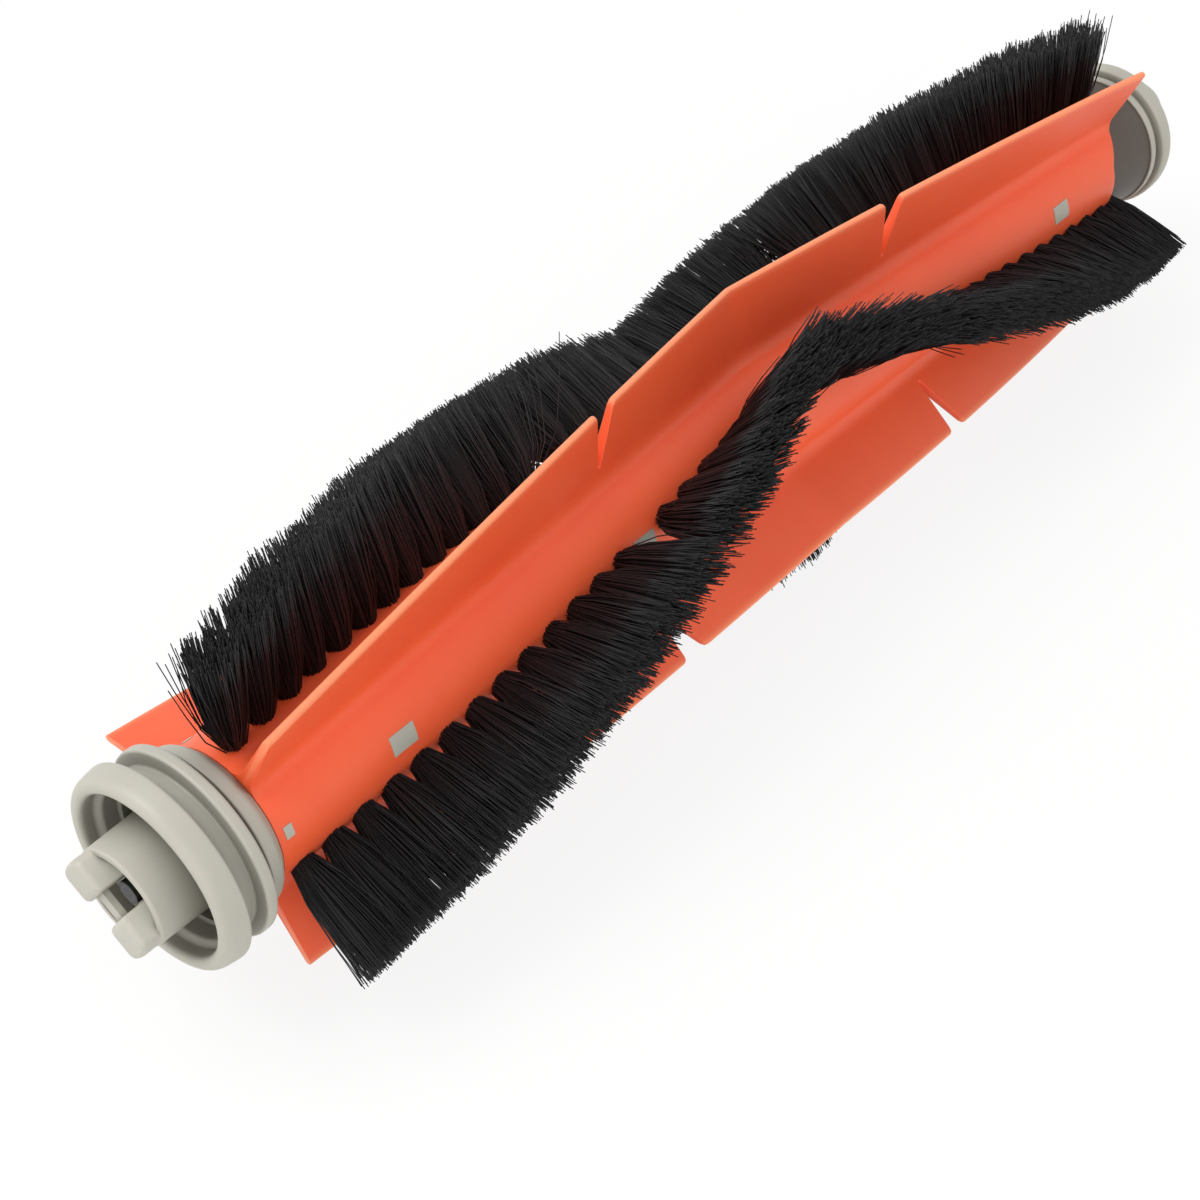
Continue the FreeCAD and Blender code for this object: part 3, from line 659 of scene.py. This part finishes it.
# Jaw coupling
# Grey ABS plug in the hub, with a bored shank down the core. Its front has two soft-edged jaws with a
# slot between them and a low web across the slot.
JAW_ANGLE = 34.0
JAW_RADIUS = 5.3
JAW_HALF = 2.15
JAW_STEPS = 9
JAW_BACK_EDGE = 0.55
JAW_FOOT = 0.3
SLOT_HALF = 1.45
SLOT_FLOOR = 4.2
# Corners from a jaw's back to its slot, as (across, along) from the spin axis.
JAW_CORNERS = [
    (JAW_RADIUS - JAW_BACK_EDGE, JAW_HALF - 0.15), (JAW_RADIUS - 0.95, JAW_HALF),
    (SLOT_HALF + 0.4, JAW_HALF), (SLOT_HALF + 0.1, JAW_HALF - 0.1), (SLOT_HALF, JAW_HALF - 0.4),
]
# A jaw's front edges are drawn in, as (depth, inset); an inset of INSET_TO_POINT would reach its middle.
JAW_LEVELS = (
    (SLOT_FLOOR + JAW_FOOT, 0.0), (0.65, 0.0), (0.35, 0.06), (0.15, 0.18), (0.04, 0.36), (0.0, 0.6),
)
INSET_TO_POINT = 1.9
WEB_FRONT = 1.0
WEB_BACK = 1.65
WEB_LOW, WEB_HIGH = -1.3, 0.2
WEB_BITE = 0.1
SCREW_BORE = 0.85
PLUG_RADIUS = 4.6
PLUG_END = WINDOW_FLOOR - 2.6
SHANK_RADIUS = 3.35
SHANK_END = SLEEVE_START + 8
PLUG_STEPS = 64
JAW_SHELTER = 1


def jaw_block(side):
    """One jaw: flat sides, a curved back and all its front edges drawn soft."""
    back = np.linspace(-1, 1, JAW_STEPS) * math.asin((JAW_HALF - JAW_BACK_EDGE) / JAW_RADIUS)
    outline = [(JAW_RADIUS * math.cos(turn), JAW_RADIUS * math.sin(turn)) for turn in back]
    outline += JAW_CORNERS
    outline += [(across, -along) for across, along in reversed(JAW_CORNERS)]
    flat = np.array(outline) * [side, 1]
    centre = flat.mean(0)
    rings = [(depth, centre + (flat - centre) * (1 - inset / INSET_TO_POINT)) for depth, inset in JAW_LEVELS]
    points = np.concatenate([np.column_stack([np.full(len(ring), depth), ring]) for depth, ring in rings])
    count = len(flat)
    faces = [tuple(range(count)), tuple(range(len(points) - count, len(points)))]
    return points, faces + loop_faces(len(rings), count, False)


def block(low, high):
    """Plain block between two corners, for the low web."""
    corners = [[(low, high)[bit >> axis & 1][axis] for axis in range(3)] for bit in range(8)]
    faces = [(0, 1, 3, 2), (4, 5, 7, 6), (0, 1, 5, 4), (2, 3, 7, 6), (0, 2, 6, 4), (1, 3, 7, 5)]
    return np.array(corners, float), faces


plug_outline = rounded((
    (SLOT_FLOOR, SCREW_BORE, 0), (SLOT_FLOOR, PLUG_RADIUS, 0), (PLUG_END, PLUG_RADIUS, 0),
    (PLUG_END, SHANK_RADIUS, 0), (SHANK_END, SHANK_RADIUS, 0.2), (SHANK_END, SCREW_BORE, 0),
))
low_web = block(
    (WEB_FRONT, -SLOT_HALF - WEB_BITE, WEB_LOW), (WEB_BACK, SLOT_HALF + WEB_BITE, WEB_HIGH))
jaws = joined(turned(plug_outline, steps=PLUG_STEPS), jaw_block(1), jaw_block(-1), low_web)
turn = Matrix.Rotation(math.radians(JAW_ANGLE), 3, "X")
jaw_points = np.array([turn @ Vector(point) for point in jaws[0]])
jaw_abs = moulded_abs("warm_grey_ABS_jaws", "#BDBAAE", "#B1AEA2", JAW_SHELTER)
coupling = mesh_piece("soft_edged_jaws", jaw_points, jaws[1], jaw_abs, "roller", "grey_abs")
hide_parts("jaw_coupling")


# Coupling screw, axle pin and washer
# A small steel screw sunk between the jaws, coloured near black as painted shade for its pocket; a plated
# steel stub axle and its washer at the far end. They show as their imported solids.
def turned_steel(name, dark, light):
    """Turned steel: bright, with fine rings round the axis."""
    material, tree, shader = start_material(name)
    place = add_node(tree, "ShaderNodeTexCoord").outputs["Object"]
    # Tool marks lie about 0.1 mm apart; they are drawn coarser so that they show.
    mark_mm = 0.4
    waves_per_scale = 6
    rings = add_node(
        tree, "ShaderNodeTexWave",
        {"wave_type": "RINGS", "rings_direction": "X", "Scale": per_metre(mark_mm) / waves_per_scale,
         "Distortion": 0.6},
        {"Vector": place})
    rough = add_node(
        tree, "ShaderNodeMapRange", {"To Min": 0.24, "To Max": 0.4}, {"Value": rings.outputs["Fac"]})
    tint = add_node(
        tree, "ShaderNodeMix", {"data_type": "RGBA", 6: linear(dark), 7: linear(light)},
        {"Factor": rings.outputs["Fac"]})
    tree.links.new(tint.outputs[2], shader.inputs["Base Color"])
    tree.links.new(rough.outputs["Result"], shader.inputs["Roughness"])
    shader.inputs["Metallic"].default_value = 1.0
    return material


def dress(node, material):
    """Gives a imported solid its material."""
    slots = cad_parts[node].data.materials
    slots.clear()
    slots.append(material)


# The screw's steel is painted near black: painted shade for the deep pocket it sits in.
dress("coupling_screw", turned_steel("painted_shade_steel", "#2C2C2B", "#4A4A48"))
plated = turned_steel("plated_steel", "#B4B6B8", "#C9CBCD")
dress("axle_pin", plated)
dress("retaining_washer", plated)


# Bearing flange
# Grey ABS end piece: a cone out of the sleeve, a thin plate, a groove and a thicker outer ring; the cone and
# the plate's front face are coloured dark brown.
# Its hollow shank goes into the core and holds the axle pin.
FLANGE_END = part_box("bearing_flange")[1].x / MM
PIN_BORE = 1.55
FLANGE_SHANK_START = SLEEVE_END - 12
COLLAR_BACK = SLEEVE_END + 0.1
COLLAR_INSIDE = 6.45
CONE_START, CONE_RADIUS = SLEEVE_END - 4, 6.9
PLATE_FRONT = SLEEVE_END + 4.2
PLATE_BACK = PLATE_FRONT + 1.1
CONE_END_RADIUS, PLATE_RADIUS = 8.6, 8.9
OUTER_GROOVE_RADIUS = 8.2
OUTER_RING_FRONT = PLATE_FRONT + 1.9
OUTER_RING_BACK = PLATE_FRONT + 3.9
OUTER_RING_RADIUS, END_RADIUS = 9.5, 8.4
DARK_FACE_EDGE = 8.65
DARK_FACE_MARGIN = 0.02
FLANGE_SHELTER = 2
flange_outline = rounded((
    (FLANGE_SHANK_START, PIN_BORE, 0), (FLANGE_SHANK_START, SHANK_RADIUS, 0.2),
    (COLLAR_BACK, SHANK_RADIUS, 0), (COLLAR_BACK, COLLAR_INSIDE, 0),
    (CONE_START, COLLAR_INSIDE, 0), (CONE_START, CONE_RADIUS, 0.1),
    (PLATE_FRONT, CONE_END_RADIUS, 0), (PLATE_FRONT, PLATE_RADIUS, 0.2),
    (PLATE_BACK, PLATE_RADIUS, 0.3), (PLATE_BACK, OUTER_GROOVE_RADIUS, 0.25),
    (OUTER_RING_FRONT, OUTER_GROOVE_RADIUS, 0.25), (OUTER_RING_FRONT, OUTER_RING_RADIUS, 0.45),
    (OUTER_RING_BACK, OUTER_RING_RADIUS, 0.6), (FLANGE_END, END_RADIUS, 0.3), (FLANGE_END, PIN_BORE, 0),
))
# The cone and the plate's front face, inside the edge radius, are coloured dark brown.
dark_faced_abs = moulded_abs("dark_faced_grey_ABS", ABS_LIGHT, ABS_DARK, FLANGE_SHELTER, "#524840")
flange = mesh_piece("ringed_bearing_flange", *turned(flange_outline), dark_faced_abs, "roller", "grey_abs")
dark_face = flange.data.attributes.new("dark_face", "FLOAT", "POINT")
for vertex, share in zip(flange.data.vertices, dark_face.data):
    across = math.hypot(vertex.co.y, vertex.co.z) / MM
    share.value = float(vertex.co.x / MM < PLATE_FRONT + DARK_FACE_MARGIN and across < DARK_FACE_EDGE)
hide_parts("bearing_flange")


# Bearing cap and bush
# A closed grey ABS cap, tapered towards its end, that drops into the robot's side wall. It turns on a
# white acetal bush.
cap_low, cap_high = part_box("bearing_cap")
CAP_FRONT = cap_low.x / MM
CAP_END = cap_high.x / MM
CAP_RADIUS, CAP_END_RADIUS = 6.0, 3.7
CAP_TAPER_START = CAP_FRONT + 2.4
CAP_FLOOR = CAP_END - 0.9
BUSH_SEAT, BUSH_SEAT_END = 2.65, CAP_FRONT + 4.0
WASHER_ROOM = 3.1
BUSH_SHELTER = 2
cap_outline = rounded((
    (CAP_FRONT, BUSH_SEAT, 0), (CAP_FRONT, CAP_RADIUS, 0.3),
    (CAP_TAPER_START, CAP_RADIUS, 0.6), (CAP_END, CAP_END_RADIUS, 0.5),
    (CAP_END, 0.0, 0), (CAP_FLOOR, 0.0, 0), (CAP_FLOOR, WASHER_ROOM, 0),
    (BUSH_SEAT_END, WASHER_ROOM, 0), (BUSH_SEAT_END, BUSH_SEAT, 0),
))
cap = mesh_piece("domed_bearing_cap", *turned(cap_outline), grey_abs, "end_cap", "grey_abs")
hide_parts("bearing_cap")
dress("bearing_bush", moulded_abs("white_acetal", "#E9E8E3", "#DEDDD6", BUSH_SHELTER))


# Studio
# A matt white floor under the flattened bristles, running out into a white backdrop.
# One large soft lamp from above and a weaker one from the front light the brush.
FLOOR_HALF = 3.0
FLOOR_GLOW = 0.86
AMBIENT = 0.7
BRUSH_MIDDLE = (0.09, 0.0, 0.0)
KEY_PLACE, KEY_WIDTH, KEY_POWER = (-0.25, 0.3, 0.66), 0.5, 3.6
FILL_PLACE, FILL_WIDTH, FILL_POWER = (-0.45, -0.6, 0.35), 0.7, 1.8


def seen_by(tree, *rays):
    """1 for the rays named, which see the plain white, and 0 for those that only carry light."""
    path = add_node(tree, "ShaderNodeLightPath")
    seen = path.outputs[rays[0]]
    for ray in rays[1:]:
        either = add_node(
            tree, "ShaderNodeMath", {"operation": "MAXIMUM"}, {0: seen, 1: path.outputs[ray]})
        seen = either.outputs[0]
    return seen


floor_mesh = bpy.data.meshes.new("floor")
floor_corners = [(x, y, cad_box[0][2]) for x, y in ((-1, -1), (1, -1), (1, 1), (-1, 1))]
floor_mesh.from_pydata([(x * FLOOR_HALF, y * FLOOR_HALF, z) for x, y, z in floor_corners], [], [(0, 1, 2, 3)])
floor = bpy.data.objects.new("floor", floor_mesh)
bpy.context.scene.collection.objects.link(floor)
# Matt white paint with a share of plain white, so that the floor fades to white and keeps a soft shadow.
floor_paint, tree, default_shader = start_material("white_backdrop_paint")
tree.nodes.remove(default_shader)
matt = add_node(tree, "ShaderNodeBsdfDiffuse", {"Color": linear("#F4F4F2")})
glow = add_node(tree, "ShaderNodeEmission", {"Color": linear("#FFFFFF"), "Strength": 1.0})
share = add_node(
    tree, "ShaderNodeMath", {"operation": "MULTIPLY", 1: FLOOR_GLOW},
    {0: seen_by(tree, "Is Camera Ray", "Is Glossy Ray")})
mix = add_node(
    tree, "ShaderNodeMixShader", None,
    {0: share.outputs[0], 1: matt.outputs[0], 2: glow.outputs[0]})
tree.links.new(mix.outputs[0], tree.nodes["Material Output"].inputs["Surface"])
floor_mesh.materials.append(floor_paint)

world = bpy.data.worlds.new("studio")
bpy.context.scene.world = world
world.use_nodes = True
tree = world.node_tree
sky = tree.nodes["Background"]
sky.inputs["Color"].default_value = linear("#FFFFFF")
level = add_node(
    tree, "ShaderNodeMapRange", {"To Min": AMBIENT, "To Max": 1.0},
    {"Value": seen_by(tree, "Is Camera Ray", "Is Glossy Ray", "Is Transmission Ray")})
tree.links.new(level.outputs["Result"], sky.inputs["Strength"])


def soft_light(name, place, width, power):
    """Square area lamp aimed at the middle of the brush."""
    lamp = bpy.data.lights.new(name, "AREA")
    lamp.size = width
    lamp.energy = power
    item = bpy.data.objects.new(name, lamp)
    bpy.context.scene.collection.objects.link(item)
    item.location = place
    item.rotation_euler = (Vector(BRUSH_MIDDLE) - Vector(place)).to_track_quat("-Z", "Y").to_euler()


soft_light("key", KEY_PLACE, KEY_WIDTH, KEY_POWER)
soft_light("fill", FILL_PLACE, FILL_WIDTH, FILL_POWER)


# Camera
# Placed where the photograph was taken from, just past the drive end and above it.
# Its place and lens were fitted to the blade crests, the wheel's ellipses and the tuft pitch.
SENSOR_WIDTH = 36.0
LENS = 64.97
CAMERA_PLACE = Vector((SLEEVE_START - 78.9, -111.7, 150.7)) * MM
FORWARD = Vector((0.5589, 0.4717, -0.6820)).normalized()
RIGHT = Vector((0.6444, -0.7647, 0.0)).normalized()
UP = RIGHT.cross(FORWARD)
NEAR_CLIP = 0.01
camera_data = bpy.data.cameras.new("camera")
camera_data.sensor_width = SENSOR_WIDTH
camera_data.lens = LENS
camera_data.clip_start = NEAR_CLIP
camera = bpy.data.objects.new("camera", camera_data)
bpy.context.scene.collection.objects.link(camera)
camera.matrix_world = Matrix.Translation(CAMERA_PLACE) @ Matrix((RIGHT, UP, -FORWARD)).transposed().to_4x4()
bpy.context.scene.camera = camera
bpy.context.scene.view_settings.view_transform = "Standard"
